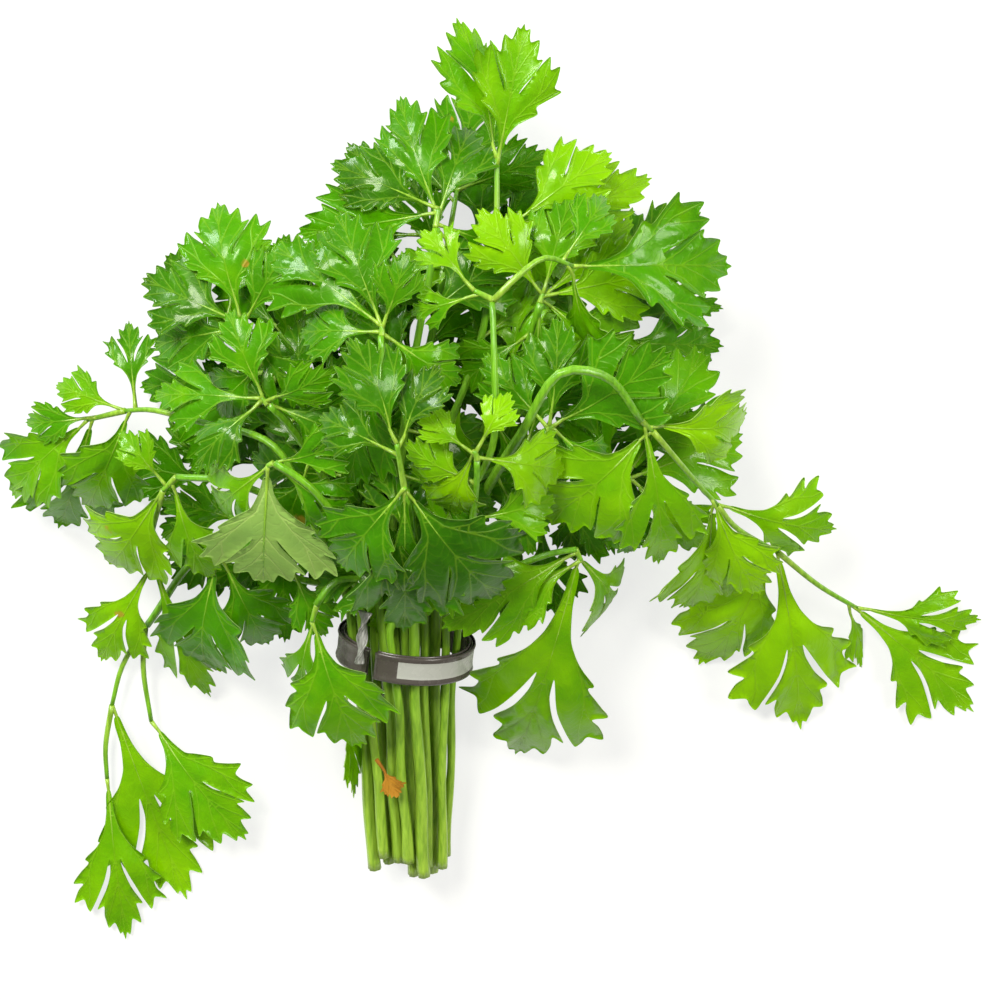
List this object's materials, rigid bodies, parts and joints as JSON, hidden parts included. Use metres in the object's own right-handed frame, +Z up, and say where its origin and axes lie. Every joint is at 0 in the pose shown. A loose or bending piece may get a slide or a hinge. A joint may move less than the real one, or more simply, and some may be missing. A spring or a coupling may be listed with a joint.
{
  "type": "parsley bunch",
  "caption": "Bunch of flat-leaf parsley lying on its side: cut stems held by a wide twist tie, with spreading toothed leaves.",
  "frame": {"origin": "middle of the bunch's bounding box, on the surface it lies on", "axes": "+Z up from the surface, +Y from the cut stem ends towards the leaves, +X to the right seen from above with the leaves at the top"},
  "size_m": [0.3446, 0.331, 0.1117],
  "materials": {
    "leaf": "waxy green leaf, satin on the upper side",
    "stem": "pale yellow-green grooved stem, slightly glossy",
    "withered_leaf": "dry brown leaf scrap",
    "tie_film": "laminated plastic film, dark grey with a bare pale grey panel",
    "tie_wire": "thin steel wire"
  },
  "bodies": {
    "root": {"leaf_centre": "leaf", "leaf_crown": "leaf", "leaf_curled": "leaf", "leaf_far_left": "leaf", "leaf_forked": "leaf", "leaf_front_right": "leaf", "leaf_left_bright": "leaf", "leaf_left_droop": "leaf", "leaf_left_middle": "leaf", "leaf_low_left": "leaf", "leaf_over_tie": "leaf", "leaf_pale_side": "leaf", "leaf_right_arch": "leaf", "leaf_right_back": "leaf", "leaf_right_middle": "leaf", "leaf_top_left": "leaf", "leaf_top_right": "leaf", "leaf_under_left": "leaf", "leaf_under_middle": "leaf", "leaf_under_right": "leaf", "leaf_under_top": "leaf", "leaf_under_upper_left": "leaf", "leaf_under_upper_right": "leaf", "leaf_upper_left": "leaf", "leaf_upper_middle": "leaf", "stem_centre": "stem", "stem_crown": "stem", "stem_curled": "stem", "stem_far_left": "stem", "stem_forked": "stem", "stem_front_right": "stem", "stem_left_bright": "stem", "stem_left_droop": "stem", "stem_left_middle": "stem", "stem_low_left": "stem", "stem_over_tie": "stem", "stem_pale_side": "stem", "stem_right_arch": "stem", "stem_right_back": "stem", "stem_right_middle": "stem", "stem_top_left": "stem", "stem_top_right": "stem", "stem_under_left": "stem", "stem_under_middle": "stem", "stem_under_right": "stem", "stem_under_top": "stem", "stem_under_upper_left": "stem", "stem_under_upper_right": "stem", "stem_upper_left": "stem", "stem_upper_middle": "stem", "tie_inner_film": "tie_film", "tie_lower_wire": "tie_wire", "tie_outer_film": "tie_film", "tie_twisted_ends": "tie_film", "tie_upper_wire": "tie_wire", "tucked_leaflet": "leaf", "withered_leaflet": "withered_leaf"}
  },
  "joints": []
}
